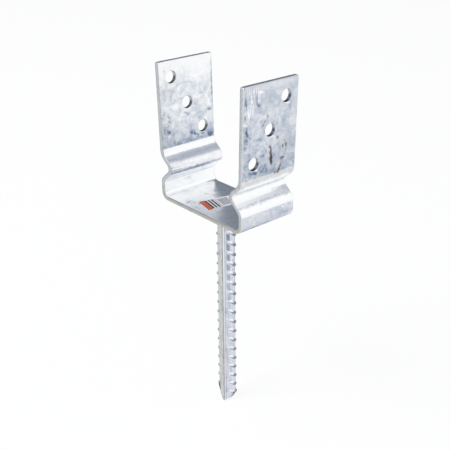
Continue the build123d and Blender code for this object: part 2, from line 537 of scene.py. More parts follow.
WORN_AND_HIGHLIGHTS = (
    Mark(176.6, -11.2, 1.9, 4.6, 1.0, 10),
    Mark(170.7, -20.6, 1.8, 1.6, 1.0),
    Mark(153.0, -27.5, 1.2, 3.5, 0.9, 15),
    Mark(180.0, 5.0, 3.5, 30.0, 0.35),
    Mark(165.0, -19.5, 8.0, 2.0, 0.4),
    # Painted highlights: the next three marks lie along the lower rims of the right leg's three holes.
    Mark(162.8, 17.5, 1.5, 4.8, 1.0, 15),
    Mark(137.6, 1.5, 1.5, 4.8, 1.0, 15),
    Mark(112.4, -15.5, 1.5, 4.8, 1.0, 15),
    Mark(14.0, -23.8, 8.0, 1.7, 0.6, 8),
    Mark(25.0, -21.5, 5.0, 1.4, 0.5),
    Mark(61.5, 17.0, 1.1, 2.2, 0.9, 30),
    Mark(62.0, 21.5, 1.0, 1.6, 0.8, 20),
    Mark(59.5, 19.5, 0.8, 1.5, 0.7, -30),
)
CHALKY = (
    Mark(168.5, -5.0, 3.2, 2.8, 0.7),
    Mark(127.0, 17.5, 10.0, 6.0, 0.5),
    Mark(111.0, 10.5, 4.5, 4.5, 0.5),
    Mark(-160.0, -20.0, 20.0, 10.0, 0.25),
    Mark(150.0, 26.5, 36.0, 3.0, 0.35),
    Mark(102.3, 0.0, 3.8, 80.0, 0.7),
    Mark(101.5, 28.0, 5.0, 5.0, 0.9),
)
DRIPS = (
    Mark(166.0, -25.0, 18.0, 6.0, 1.0),
    Mark(174.0, -17.0, 9.0, 9.0, 0.8),
)

# Rings that the bath's last drops left as they dried.
Ring = namedtuple("Ring", "s y radius half_width strength")
RINGS = (
    Ring(119.5, -17.0, 9.6, 1.6, 0.6),
    Ring(119.5, -17.0, 13.6, 1.5, 0.35),
    Ring(149.0, -14.0, 11.0, 1.5, 0.35),
    Ring(166.0, -14.0, 6.5, 1.2, 0.3),
    Ring(-146.0, -2.0, 15.5, 1.4, 0.4),
    Ring(-146.0, -4.0, 20.5, 1.3, 0.3),
    Ring(-121.0, -23.0, 8.5, 1.5, 0.5),
    Ring(-121.0, -23.0, 4.5, 1.2, 0.4),
    Ring(-128.0, 8.0, 12.0, 1.4, 0.3),
)
MARK_GROUPS = {"stain": STAINS_AND_SHADE, "soil": SOILED, "worn": WORN_AND_HIGHLIGHTS, "chalk": CHALKY, "drip": DRIPS}


# How far the outlines of marks and rings wander, in millimetres, and the size of that wandering's cells.
MARK_WANDER = 0.8
MARK_CELL = 3 * MM
RING_WANDER = 2.0
RING_CELL = 12 * MM

# Share of a mark's or a ring's reach that has its full strength. Then the cells, in millimetres, of the
# field that breaks the rings, and the values between which it does so.
MARK_CORE = 0.4
RING_CORE = 0.2
RING_GAP = 9.0
RING_BREAKS = (-0.25, 0.35)


def wandered(s, y, side, cell, reach):
    """A place of the blank in millimetres, moved a little by a smooth random field."""
    wander = noise.noise_vector(Vector((s / cell, y / cell, side)))
    return s / MM + reach * wander.x, y / MM + reach * wander.y


def marked(marks, s, y, side):
    """How strongly a group of marks shows at a place of the blank, from 0 to 1."""
    s, y = wandered(s, y, side, MARK_CELL, MARK_WANDER)
    total = 0.0
    for mark in marks:
        if side * mark.s > 0 or abs(s - mark.s) + abs(y - mark.y) > 2 * max(mark.half_s, mark.half_y):
            continue
        turn = radians(mark.turn)
        long_way = (s - mark.s) * cos(turn) + (y - mark.y) * sin(turn)
        wide_way = (y - mark.y) * cos(turn) - (s - mark.s) * sin(turn)
        off = hypot(long_way / mark.half_s, wide_way / mark.half_y)
        total += mark.strength * (1 - smooth_step(MARK_CORE, 1.0, off))
    return min(total, 1.0)


def ringed(s, y, side):
    """How strongly the drying rings show at a place of the blank: each fades in and out round its run."""
    s, y = wandered(s, y, side, RING_CELL, RING_WANDER)
    total = 0.0
    for ring in RINGS:
        off = abs(hypot(s - ring.s, y - ring.y) - ring.radius)
        if side * ring.s < 0 and off < ring.half_width:
            total += ring.strength * (1 - smooth_step(RING_CORE, 1.0, off / ring.half_width))
    unbroken = noise.noise(Vector((s / RING_GAP, y / RING_GAP, side + 4.0)))
    return min(total, 1.0) * smooth_step(*RING_BREAKS, unbroken)


Band = namedtuple("Band", "start end low high")

# How dark the zinc is painted along the strip: the sum of bands that each change smoothly from their start
# to their end, which are millimetres from the base plate's middle. The legs grow duller towards the
# shoulder. The bends stay bright as painted highlights, and the bends' bands lay painted reflection,
# brighter and darker, across the flanks beside them.
LEGS_INSIDE = (Band(180.0, 150.0, 0.0, 0.22), Band(130.0, 104.0, 0.0, 0.31))
LEGS_OUTSIDE = (Band(135.0, 106.0, 0.39, 0.5),)
BEND_REFLECTIONS_INSIDE = (Band(64.0, 68.0, 0.0, 0.32), Band(94.0, 98.0, 0.0, -0.32), Band(47.0, 51.0, -0.12, -0.23))
BEND_REFLECTIONS_OUTSIDE = (
    Band(99.0, 103.0, 0.0, 0.28),
    Band(83.0, 86.0, 0.0, 0.2),
    Band(91.0, 94.0, 0.0, -0.2),
    Band(64.8, 63.0, -0.06, 0.33),
    Band(60.0, 50.0, 0.0, 0.16),
)


# Where the leg starts and the flat of the base plate ends, in metres along the strip, and the stretch
# at the left base bend where the sheared edge's painted shade line changes sides.
LEG_STARTS = (104.3 * MM, 105.6 * MM)
PLATE_ENDS = (50 * MM, 44 * MM)
LINE_CROSSES = (-60 * MM, -52 * MM)

# Random fields: scale, detail, roughness and distortion.
CLOUDS = (60.0, 4.0, 0.55, 0.9)
MOTTLING = (260.0, 5.0, 0.62, 0.9)
GRAIN = (1300.0, 2.0, 0.5)
SWIRLS = (105.0, 5.0, 0.62, 1.2)
DRAW_LINES = (420.0, 3.0)
RUNNELS = (900.0, 2.0)
STREAKS = (700.0, 3.0)
PAPER_FIBRES = (900.0, 3.0)


def zinc_fields(shader, place):
    """The random fields that every zinc surface is made of: clouds, mottling and grain."""
    return [shader.noise(place, *field) for field in (CLOUDS, MOTTLING, GRAIN)]


def banded(shader, along, bands):
    """Sum of smooth changes along the strip."""
    changes = [shader.ramp(along, band.start * MM, band.end * MM, band.low, band.high) for band in bands]
    return shader.plus(*changes)


def strip_dull_and_shading(shader, place, flat):
    """How dark the zinc is painted at each place of the strip, from 0 on the smooth bends, kept bright as
    painted highlights, up to about 1: its dullness with painted reflection bands round the bends.

    Also returns where it is rubbed rough, and the grain and mottling that its bumps follow.
    """
    s, y, side = shader.split(flat)
    along = shader.math("ABSOLUTE", s)
    outside = shader.ramp(side, 0.3, -0.3)
    on_leg = shader.ramp(along, *LEG_STARTS)
    on_plate = shader.ramp(along, *PLATE_ENDS)
    # Painted reflection round the bends: brighter and darker bands across the strip.
    bends = shader.blend(outside, banded(shader, along, BEND_REFLECTIONS_INSIDE), banded(shader, along, BEND_REFLECTIONS_OUTSIDE))
    legs = shader.blend(outside, banded(shader, along, LEGS_INSIDE), banded(shader, along, LEGS_OUTSIDE))
    level = shader.blend(on_leg, bends, legs)

    clouds, mottling, grain = zinc_fields(shader, place)
    swirls = shader.noise(place, *SWIRLS)
    usual_sum = 1.075
    uneven = shader.plus_shares(-usual_sum, (mottling, 0.4), (clouds, 0.6), (grain, 0.2), (swirls, 0.95))
    below = shader.plus_shares(shader.ramp(level, 0.0, 0.3, 0.3, 0.6), (on_plate, 1.3))
    reach = shader.blend(on_leg, below, shader.ramp(along, 184 * MM, 160 * MM, 0.3, 1.0))
    dull_and_shading = shader.plus_shares(level, (uneven, reach))

    drawn = shader.noise(shader.scaled(flat, (1.0, 0.07, 1.0)), *DRAW_LINES)
    drawn = shader.times(shader.minus(drawn, 0.46), shader.blend(on_leg, 0.45, 0.12))
    drips = shader.noise(shader.scaled(flat, (0.1, 1.0, 1.0)), *RUNNELS)
    drips = shader.times(shader.field("drip"), shader.ramp(drips, 0.4, 0.6, -0.35, 0.2))
    dull_and_shading = shader.plus(dull_and_shading, drawn, drips)

    on_flank = shader.near(along, 92 * MM, 6 * MM, 3 * MM)
    rubbed = shader.plus_shares(on_plate, (shader.minus(1.0, outside), on_flank))
    return dull_and_shading, rubbed, grain, mottling


def edge_skin(shader, finish, flat, mottling):
    """Colour across the sheared edge: a painted shade line along its left or upper corner.

    On the base plate and the right leg a painted highlight line runs along the opposite corner.
    """
    s, y, side = shader.split(flat)
    on_base = shader.ramp(shader.math("ABSOLUTE", s), 66 * MM, 50 * MM)
    left_or_up = shader.times(side, shader.ramp(s, *LINE_CROSSES, -1.0, 1.0))
    # Painted highlight along the edge's opposite corner.
    pale = shader.times(shader.ramp(left_or_up, -0.6, -0.95), shader.ramp(s, *LINE_CROSSES, 0.0, 0.5))
    return shader.layered(
        finish.edge,
        # Painted reflection: the base plate's sheared edge tinted warm.
        (on_base, finish.warm_edge_reflection),
        (shader.ramp(mottling, 0.45, 0.7, 0.0, 0.35), finish.dark),
        # Painted shade along the edge's left or upper corner.
        (shader.ramp(left_or_up, 0.3, 0.8, 0.0, 0.9), finish.edge_shade_line),
        (pale, finish.bright),
    )


def strip_material(finish):
    """Galvanised strip: smooth bends painted bright as highlights, dull mottled legs, handling marks and
    darker cut edges, with painted shade and highlights along the folds, the edges and the holes.
    """
    material = bpy.data.materials.new("galvanised strip")
    shader = Shader(material)
    flat = shader.attribute("flat").outputs["Vector"]
    dull_and_shading, rubbed, grain, mottling = strip_dull_and_shading(shader, shader.place(), flat)
    patchy = shader.ramp(mottling, 0.35, 0.6, 0.6, 1.2)

    def mark(name):
        """A group of marks, broken up by the mottling."""
        return shader.math("MULTIPLY", shader.field(name), patchy, clamp=True)

    dull_and_shading = shader.plus_shares(dull_and_shading, (mark("ring"), 0.5))
    # The stains darken the zinc; among them are painted shade lines along the folds and a painted shadow
    # beside a hole.
    dull_and_shading = shader.math("MULTIPLY_ADD", mark("stain"), 0.42, dull_and_shading, clamp=True)
    sheared = shader.ramp(shader.field("cut"), 0.0, 0.35)
    skin = shader.layered(
        finish.bright,
        (dull_and_shading, finish.dark),
        (shader.ramp(dull_and_shading, 0.55, 1.0, 0.0, 0.7), finish.deep),
        (mark("chalk"), finish.chalk),
        # The worn marks include painted highlights along the holes' lower rims.
        (mark("worn"), finish.bright),
        (mark("soil"), finish.soil),
        (sheared, edge_skin(shader, finish, flat, mottling)),
        # Painted shade on the holes' walls.
        (shader.ramp(shader.field("bore"), 0.2, 0.7), finish.bore),
    )
    roughness = shader.plus_shares(shader.ramp(dull_and_shading, 0.0, 0.8, 0.15, 0.48), (rubbed, 0.13))
    roughness = shader.blend(sheared, roughness, 0.45)
    bumps = shader.plus_shares(mottling, (grain, 0.25))
    bumps = shader.times(bumps, shader.ramp(dull_and_shading, 0.0, 0.4, 0.2, 1.0))
    shader.surface(skin, roughness, 1.0, bumps, 0.06 * MM)
    return material


# Places round the bar, in degrees from its first row of ribs: the middle, and how far to each side the
# look has faded out and how far it is full. They place painted shade and painted highlights. The last one
# is where the second row's side ends.
SLOT_SHADE = (-56.0, 15.0, 8.0)
LIT_SIDE = (-50.0, 36.0, 16.0)
SHADED = (14.0, 24.0, 8.0)
SEAM_HIGHLIGHT = (-86.0, 5.0, 2.5)
SEAM_SHADE = (-78.5, 4.0, 1.5)
SECOND_ROW = (-96.0, -90.0)


def bar_material(finish):
    """Galvanised bar: streaked zinc, painted highlights above the ribs and painted shade below them, with a
    rusty tip.

    Its fields are degrees round from the first row of ribs, the surface's rise above the core, and the
    distance from the nearest rib's middle.
    """
    material = bpy.data.materials.new("galvanised bar")
    shader = Shader(material)
    place = shader.place()
    around, between = shader.field("around"), shader.field("between")
    lean = shader.split(shader.add("ShaderNodeNewGeometry").outputs["Normal"])[2]
    height = shader.split(place)[2]
    clouds, mottling, grain = zinc_fields(shader, place)
    streaks = shader.noise(shader.scaled(place, (1.0, 1.0, 0.1)), *STREAKS)
    worn = shader.plus_shares(shader.times(mottling, 0.5), (streaks, 0.5))
    # Painted shade in the slots between the ribs, strongest just under the plate.
    slot_shade = shader.times(
        shader.near(around, *SLOT_SHADE),
        shader.ramp(between, 1.1 * MM, 2.2 * MM),
        shader.ramp(height, -125 * MM, -15 * MM, 0.05, 0.95),
        shader.ramp(mottling, 0.3, 0.6, 1.0, 0.7),
    )
    lit_side = shader.near(around, *LIT_SIDE)
    raised = shader.ramp(shader.field("rise"), 0.2 * MM, 1.0 * MM)
    seam_highlight = shader.near(around, *SEAM_HIGHLIGHT)
    on_tip = shader.times(shader.field("cut"), shader.ramp(height, -200 * MM, -205 * MM))
    skin = shader.layered(
        # Painted reflection: the second row's side darker and more neutral, the first row's side bright and
        # bluish.
        finish.bar_shaded_side,
        (shader.ramp(around, *SECOND_ROW), finish.bar),
        (shader.ramp(worn, 0.42, 0.7, 0.0, 0.5), finish.bar_dark_and_shade),
        (slot_shade, finish.bar_dark_and_shade),
        # Painted highlight on the upward faces of the ribs on the lit side.
        (shader.times(shader.ramp(lean, 0.04, 0.24), lit_side), finish.bright),
        # Painted shade on the downward faces, under the ribs.
        (shader.ramp(lean, -0.12, -0.45, 0.0, 0.8), finish.bar_dark_and_shade),
        # Painted shade on the ribs away from the lit side, in the soil colour.
        (shader.times(raised, shader.minus(1.0, lit_side), 0.65), finish.soil),
        # Painted highlight along the seam's crest, fainter lower down.
        (shader.times(seam_highlight, shader.ramp(height, -140 * MM, -50 * MM, 0.4, 0.75)), finish.bright),
        (shader.near(around, *SHADED, 0.4), finish.bar_dark_and_shade),
        # Painted shade beside the seam.
        (shader.near(around, *SEAM_SHADE, 0.4), finish.bar_dark_and_shade),
        (shader.times(on_tip, shader.ramp(clouds, 0.3, 0.6, 0.3, 0.9)), finish.rust),
    )
    roughness = shader.ramp(worn, 0.35, 0.7, 0.3, 0.5)
    shader.surface(skin, roughness, 1.0, shader.plus_shares(mottling, (grain, 0.3)), 0.08 * MM)
    return material


def weld_material(finish):
    """Galvanised weld bead: duller than the strip, darker in the ripples' valleys."""
    material = bpy.data.materials.new("galvanised weld")
    shader = Shader(material)
    mottling, grain = zinc_fields(shader, shader.place())[1:]
    skin = shader.layered(
        finish.bar,
        (shader.ramp(mottling, 0.4, 0.65, 0.0, 0.5), finish.bar_dark_and_shade),
        (shader.times(shader.field("valley"), 0.5), finish.bar_dark_and_shade),
    )
    roughness = shader.ramp(mottling, 0.3, 0.7, 0.34, 0.52)
    shader.surface(skin, roughness, 1.0, shader.plus(grain, mottling), 0.06 * MM)
    return material


def sticker_material(sticker):
    """Coated paper with a colour panel, evenly ruled dark bars and fine grey rows, all plain."""
    material = bpy.data.materials.new("printed paper")
    shader = Shader(material)
    across, from_middle, lift = shader.split(shader.attribute("print").outputs["Vector"])
    along = shader.plus(from_middle, sticker.length / 2)
    fibre = shader.noise(shader.place(), *PAPER_FIBRES)

    def band(start, end):
        """1 from the start to the end along the sticker."""
        return shader.times(shader.math("GREATER_THAN", along, start), shader.math("LESS_THAN", along, end))

    def ruled(start, end, pitch, share, margin):
        """Evenly spaced lines across the sticker, the first one right at the start."""
        lines = shader.math("FRACT", shader.math("DIVIDE", shader.minus(along, start), pitch))
        inside = shader.math("LESS_THAN", shader.math("ABSOLUTE", across), sticker.width / 2 - margin)
        return shader.times(shader.math("LESS_THAN", lines, share), band(start, end), inside)

    bars = ruled(
        sticker.panel_end, sticker.bars_end, sticker.bar_pitch, sticker.bar_share, sticker.bar_margin
    )
    rows = ruled(
        sticker.rows_start, sticker.rows_end, sticker.row_pitch, sticker.row_share, sticker.row_margin
    )
    skin = shader.layered(
        sticker.paper,
        (fibre, sticker.fibres),
        (band(0.0, sticker.panel_end), sticker.panel),
        (bars, sticker.bars),
        (rows, sticker.rows),
    )
    shader.surface(skin, shader.ramp(fibre, 0.3, 0.7, 0.42, 0.55), 0.0, fibre, 0.02 * MM)
    return material


Run = namedtuple("Run", "start length x z heading curvature")


def along_run(run, distance):
    """Place and heading at a distance from a run's start."""
    if not run.curvature:
        return run.x + distance * cos(run.heading), run.z + distance * sin(run.heading), run.heading
    heading = run.heading + distance * run.curvature
    across = (sin(heading) - sin(run.heading)) / run.curvature
    up = (cos(run.heading) - cos(heading)) / run.curvature
    return run.x + across, run.z + up, heading


def folded_line(corners, radii):
    """Straight runs through the corners, joined by bends of the given radii."""
    headings = [atan2(b[1] - a[1], b[0] - a[0]) for a, b in zip(corners, corners[1:])]
    turns = [after - before for before, after in zip(headings, headings[1:])]
    trims = [0.0, *(radius * tan(abs(turn) / 2) for radius, turn in zip(radii, turns)), 0.0]
    runs = []
    start, (x, z) = 0.0, corners[0]
    for k, heading in enumerate(headings):
        straight = dist(corners[k], corners[k + 1]) - trims[k] - trims[k + 1]
        runs.append(Run(start, straight, x, z, heading, 0.0))
        if k < len(turns):
            start += straight
            x, z, heading = along_run(runs[-1], straight)
            bend = Run(start, abs(turns[k]) * radii[k], x, z, heading, copysign(1 / radii[k], turns[k]))
            runs.append(bend)
            start += bend.length
            x, z, heading = along_run(bend, bend.length)
    return runs


def divided(stations, cell):
    """The stations with even cells of about the given size between them."""
    lines = [stations[0]]
    for low, high in zip(stations, stations[1:]):
        cells = max(1, round((high - low) / cell))
        lines += [low + (high - low) * (k + 1) / cells for k in range(cells)]
    return lines


# Cells of the strip's unevenness: along and across the rolled faces, and along and down the sheared edges.
WAVE_ALONG = 26 * MM
WAVE_ACROSS = 30 * MM
WAVE_LAYER = 3.1
SHEAR_ALONG = 4 * MM
SHEAR_DOWN = 2.5 * MM

# How far in from the strip's edges a bend's bulge reaches.
BULGE_REACH = 9 * MM

# Mesh cells round a rounded corner, down a wall and across a hole's square, and how the last crowd inwards.
ROUNDING_CELLS = 4
WALL_CELLS = 4
HOLE_RINGS = 6
CROWDING = 1.4


class FoldedStrip:
    """The strip as a flat blank of mesh cells, and the fold that brings it to its shape.

    A point of the blank is its distance along the strip from the base plate's middle, its place
    across the width and its height above the strip's middle layer, which is the upper or inner side
    where it is positive.
    """

    def __init__(self, strip, bores):
        self.strip = strip
        low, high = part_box("saddle")
        self.half_width = (high.y - low.y) / 2
        self.half_thickness = strip.thickness / 2
        self.runs = folded_line(self.right_half_corners(), self.bend_radii())
        self.half_length = self.runs[-1].start + self.runs[-1].length
        self.holes = [self.on_blank(bore) for bore in bores]
        self.hole_radius = bores[0]["dims"]["r_mm"] * MM
        self.points = []
        self.faces = []

    def bend_radii(self):
        """Bend radii from the base plate up."""
        strip = self.strip
        return [strip.base_bend, strip.pocket_bend, strip.ridge_bend, strip.shoulder_bend]

    def right_half_corners(self):
        """Corners of the middle line, from the middle of the base plate to the right leg's top."""
        strip = self.strip
        leg_middle = (strip.clear_width + strip.thickness) / 2
        base = strip.thickness / 2
        pocket = base + strip.pocket_wall
        ridge = pocket + strip.ridge_rise
        shoulder = ridge + strip.ridge_return
        leg_top = (
            leg_middle + strip.leg_length * sin(strip.leg_splay),
            shoulder + strip.leg_length * cos(strip.leg_splay),
        )
        tip = (leg_middle - strip.ridge_depth, ridge)
        return [(0.0, base), (leg_middle, base), (leg_middle, pocket), tip, (leg_middle, shoulder), leg_top]

    def on_blank(self, bore):
        """Where a bore of the frame is on the flat blank."""
        x, y, z = bore["pos_m"]
        leg = self.runs[-1]
        along = (abs(x) - leg.x) * cos(leg.heading) + (z - leg.z) * sin(leg.heading)
        return copysign(leg.start + along, x), y

    def middle_at(self, s):
        """Place and heading of the folded middle line, on the right half."""
        run = [run for run in self.runs if run.start <= max(s, 0.0)][-1]
        return along_run(run, s - run.start)

    def eased_at(self, s):
        """Place and heading of the folded middle line, with each bend eased into the flats beside it."""
        ease = self.strip.bend_ease
        spots = [self.middle_at(s + step * ease) for step in (-1.0, -0.5, 0.0, 0.5, 1.0)]
        return [sum(values) / len(spots) for values in zip(*spots)]

    def bending_at(self, s):
        """How sharply the strip is bent near a place, positive towards its upper side."""
        reach = self.strip.thickness / 2
        behind = self.middle_at(max(s - reach, 0.0))[2]
        ahead = self.middle_at(min(s + reach, self.half_length))[2]
        return (ahead - behind) / (2 * reach)

    def folded(self, s, y, n):
        """Where a point of the blank comes to lie when the strip is folded."""
        strip = self.strip
        wave = noise.noise(Vector((s / WAVE_ALONG, y / WAVE_ACROSS, WAVE_LAYER)))
        near_edge = smooth_step(self.half_width - BULGE_REACH, self.half_width, abs(y))
        bulge = strip.bend_bulge * self.bending_at(abs(s)) * n * strip.thickness * near_edge
        y += copysign(bulge, y)
        n += strip.waviness * wave - copysign(self.dish(s, y), n)
        x, z, heading = self.eased_at(abs(s))
        return copysign(1.0, s) * (x - n * sin(heading)), y, z + n * cos(heading)

    def dish(self, s, y):
        """How far the punch drew the face in here."""
        nearest = min(dist((s, y), hole) for hole in self.holes) - self.hole_radius
        return self.strip.hole_dish * (1 - smooth_step(0.0, self.strip.dish_reach, nearest))

    def hole_wall_shade(self, s, y):
        """Painted shade on a hole's wall, how dark it is here: darkest in its lower half."""
        hole = min(self.holes, key=lambda hole: dist((s, y), hole))
        return smooth_step(0.8, -0.8, (abs(s) - abs(hole[0])) / self.hole_radius)

    def lines_along(self):
        """Cell lines along the whole strip, with the bends and the holes' squares on lines of their own."""
        strip = self.strip
        right_holes = sorted(s for s, y in self.holes if s > 0)
        leg = self.runs[-1]
        corner = self.half_length - strip.corner_radius
        rim = self.half_length - strip.edge_round
        lines = []
        for run in self.runs[:-1]:
            cell = strip.bend_cell if run.curvature else strip.cell
            lines += divided([run.start, run.start + run.length], cell)[:-1]
        stations = [leg.start]
        for s in right_holes:
            stations += [s - strip.hole_block, s + strip.hole_block]
        lines += divided([*stations, corner], strip.cell)
        lines += divided([corner, rim], strip.edge_round / 2)[1:]
        return [-s for s in reversed(lines[1:])] + lines

    def lines_across(self):
        """Cell lines across the strip."""
        strip = self.strip
        corner = self.half_width - strip.corner_radius
        rim = self.half_width - strip.edge_round
        stations = {corner, -corner}
        for y in {y for s, y in self.holes}:
            stations |= {y - strip.hole_block, y + strip.hole_block}
        edge = divided([corner, rim], strip.edge_round / 2)[1:]
        return [-y for y in reversed(edge)] + divided(sorted(stations), strip.cell) + edge

    def rounded(self, s, y):
        """A point of the square-cornered cells, drawn in to the leg's rounded corner."""
        radius = self.strip.corner_radius
        core = self.half_length - radius, self.half_width - radius
        past = max(abs(s) - core[0], 0.0), max(abs(y) - core[1], 0.0)
        if not all(past):
            return s, y
        share = max(past) / hypot(*past)
        return copysign(core[0] + past[0] * share, s), copysign(core[1] + past[1] * share, y)

    def outward(self, s, y):
        """Direction off the strip's outline, on the flat blank."""
        radius = self.strip.corner_radius
        core = self.half_length - radius, self.half_width - radius
        off = Vector((s - min(max(s, -core[0]), core[0]), y - min(max(y, -core[1]), core[1])))
        return off.normalized()

    def build_face(self):
        """Cells of one side: its flat points, its quads, its outline and its holes' rims."""
        strip = self.strip
        s_lines, y_lines = self.lines_along(), self.lines_across()
        flat, quads, numbers = [], [], {}

        def number(i, j):
            if (i, j) not in numbers:
                numbers[i, j] = len(flat)
                flat.append(self.rounded(s_lines[i], y_lines[j]))
            return numbers[i, j]

        def nearest(lines, value):
            return min(range(len(lines)), key=lambda k: abs(lines[k] - value))

        def ring(first_i, last_i, first_j, last_j):
            spots = [(i, first_j) for i in range(first_i, last_i)]
            spots += [(last_i, j) for j in range(first_j, last_j)]
            spots += [(i, last_j) for i in range(last_i, first_i, -1)]
            spots += [(first_i, j) for j in range(last_j, first_j, -1)]
            return [number(i, j) for i, j in spots]

        blocks = []
        for s, y in self.holes:
            low_i, high_i = (nearest(s_lines, s + side * strip.hole_block) for side in (-1, 1))
            low_j, high_j = (nearest(y_lines, y + side * strip.hole_block) for side in (-1, 1))
            blocks.append((low_i, high_i, low_j, high_j))
        for i in range(len(s_lines) - 1):
            for j in range(len(y_lines) - 1):
                if not any(a <= i < b and c <= j < d for a, b, c, d in blocks):
                    quads.append((number(i, j), number(i + 1, j), number(i + 1, j + 1), number(i, j + 1)))
        outline = ring(0, len(s_lines) - 1, 0, len(y_lines) - 1)
        rims = []
        for hole, block in zip(self.holes, blocks):
            rims.append(self.ring_of_cells(flat, quads, ring(*block), hole))
        return flat, quads, outline, rims

    def ring_of_cells(self, flat, quads, loop, hole):
        """Cells from a square of points in to a hole's round rim. Returns the rim's points."""
        middle = Vector(hole)
        rim_radius = self.hole_radius + self.strip.hole_round
        square = [Vector(flat[k]) for k in loop]
        rim = [middle + (p - middle).normalized() * rim_radius for p in square]
        for step in range(1, HOLE_RINGS + 1):
            share = 1 - (1 - step / HOLE_RINGS) ** CROWDING
            inner = []
            for outer_point, rim_point in zip(square, rim):
                inner.append(len(flat))
                flat.append(tuple(outer_point.lerp(rim_point, share)))
            for k in range(len(loop)):
                after = (k + 1) % len(loop)
                quads.append((loop[k], loop[after], inner[after], inner[k]))
            loop = inner
        return loop

    def add_wall(self, flat, loop, direction, rounding, unevenness=0.0):
        """Rounded wall from the upper side's loop down to the lower side's."""
        half = self.half_thickness
        turns = [k * pi / 2 / ROUNDING_CELLS for k in range(1, ROUNDING_CELLS + 1)]
        upper = [(rounding * sin(a), half - rounding * (1 - cos(a))) for a in turns]
        straight = 2 * (half - rounding)
        middle = [(rounding, half - rounding - straight * k / WALL_CELLS) for k in range(1, WALL_CELLS)]
        lower = [(q, -n) for q, n in reversed(upper)]
        rings = [loop]
        for q, n in upper + middle + lower:
            fresh = []
            for k in loop:
                s, y = flat[k]
                off = direction(s, y)
                rough = unevenness * noise.noise(Vector((s / SHEAR_ALONG, y / SHEAR_ALONG, n / SHEAR_DOWN)))
                reach = q + rough * q / rounding
                fresh.append(len(self.points))
                self.points.append((s + off[0] * reach, y + off[1] * reach, n, q / rounding))
            rings.append(fresh)
        rings.append([k + len(flat) for k in loop])
        for above, below in zip(rings, rings[1:]):
            self.faces += joined(above, below)

    def build(self):
        """Both sides, the sheared edge all round and the holes' walls."""
        strip = self.strip
        flat, quads, outline, rims = self.build_face()
        half = self.half_thickness
        self.points = [(s, y, half, 0.0) for s, y in flat] + [(s, y, -half, 0.0) for s, y in flat]
        self.faces = list(quads)
        self.faces += [tuple(k + len(flat) for k in reversed(quad)) for quad in quads]
        self.add_wall(flat, outline, self.outward, strip.edge_round, strip.edge_waviness)
        self.first_bore_point = len(self.points)
        for rim, hole in zip(rims, self.holes):
            middle = Vector(hole)

            def inward(s, y):
                return (middle - Vector((s, y))).normalized()

            self.add_wall(flat, rim[::-1], inward, strip.hole_round)

    def fields(self):
        """What the strip's material reads at each point."""
        flat = [(s, y, n / self.half_thickness) for s, y, n, cut in self.points]
        walls = self.points[self.first_bore_point:]
        fields = {
            "flat": flat,
            "cut": [cut for s, y, n, cut in self.points],
            "bore": [0.0] * self.first_bore_point + [cut * self.hole_wall_shade(s, y) for s, y, n, cut in walls],
            "ring": [ringed(*spot) for spot in flat],
        }
        for name, marks in MARK_GROUPS.items():
            fields[name] = [marked(marks, *spot) for spot in flat]
        return fields


def rib_crest(bar, off_row):
    """How far a rib's crest stands above the core at an angle from the middle of its row.

    The rib is part of a tilted ring, set so that its crest is highest in the middle and sinks into
    the core at the rib's reach.
    """
    core = bar.diameter / 2
    top = core + bar.rib_height
    end_x = core * cos(bar.rib_reach)
    end_y = core * sin(bar.rib_reach) / cos(bar.rib_slant)
    ring = ((top - end_x) ** 2 + end_y**2) / (2 * (top - end_x))
    middle = top - ring
    a = cos(off_row) ** 2 + (sin(off_row) / cos(bar.rib_slant)) ** 2
    b = middle * cos(off_row)
    inside = b * b - a * (middle**2 - ring**2)
    return (b + sqrt(max(inside, 0.0))) / a - core


def off_rib(bar, off_row, height, slope):
    """Distance from the middle of the nearest rib of one row, square to the rib."""
    lag = height + bar.first_rib - bar.diameter / 2 * sin(off_row) * slope
    return (lag / bar.rib_pitch - floor(lag / bar.rib_pitch + 0.5)) * bar.rib_pitch * cos(bar.rib_slant)


def rib_rise(bar, off_row, height, slope):
    """Height of the nearest rib of one row above the core."""
    if abs(off_row) > pi / 2:
        return -bar.rib_height
    fall = hypot(off_rib(bar, off_row, height, slope), bar.rib_softness) - bar.rib_softness
    return rib_crest(bar, off_row) - fall


def seam_rise(bar, off_seam):
    """Height of a seam above the core at an angle from its middle."""
    aside = abs(off_seam) * bar.diameter / 2
    return bar.seam_height * (1 - smooth_step(bar.seam_crest, bar.seam_foot, aside))


# The bar's radius counted in cells of its lumps, and the height of such a cell.
RADIUS_IN_LUMPS = 2.4
LUMP_HEIGHT = 4.5 * MM

# Rings of mesh cells over the bar's lower end.
CAP_RINGS = 22


def off_by(angle_here, angle_there):
    """Angle from one direction to another, within half a turn either way."""
    return (angle_here - angle_there + pi) % (2 * pi) - pi


def bar_surface(bar, turned, height):
    """Distance of the bar's surface from its axis, at an angle from its first row of ribs."""
    slope = tan(bar.rib_slant)
    first = rib_rise(bar, off_by(turned, 0.0), height, -slope)
    second = rib_rise(bar, off_by(turned, pi), height + bar.row_offset, slope)
    rise = smooth_top(max(first, second), 0.0, bar.rib_root)
    seam = max(seam_rise(bar, off_by(turned, pi / 2)), seam_rise(bar, off_by(turned, -pi / 2)))
    rise = smooth_top(rise, seam, bar.rib_root) - bar.rib_root / 2
    place = Vector((cos(turned) * RADIUS_IN_LUMPS, sin(turned) * RADIUS_IN_LUMPS, height / LUMP_HEIGHT))
    return bar.diameter / 2 + rise + bar.unevenness * noise.noise(place)


def cropped(bar, length, x, y, height):
    """Height of a point after the shear, and 1 where it lies on the sheared end."""
    x = x * cos(bar.crop_turn) + y * sin(bar.crop_turn)
    tip = bar.crop_flat_depth - bar.diameter / 2
    end = -length + (x - tip) * tan(bar.crop_slope)
    flat = -length + (tip - x) * bar.crop_flat_length / bar.crop_flat_depth
    lowest = max(end, flat)
    if height > lowest:
        return height, 0.0
    return lowest, 1.0


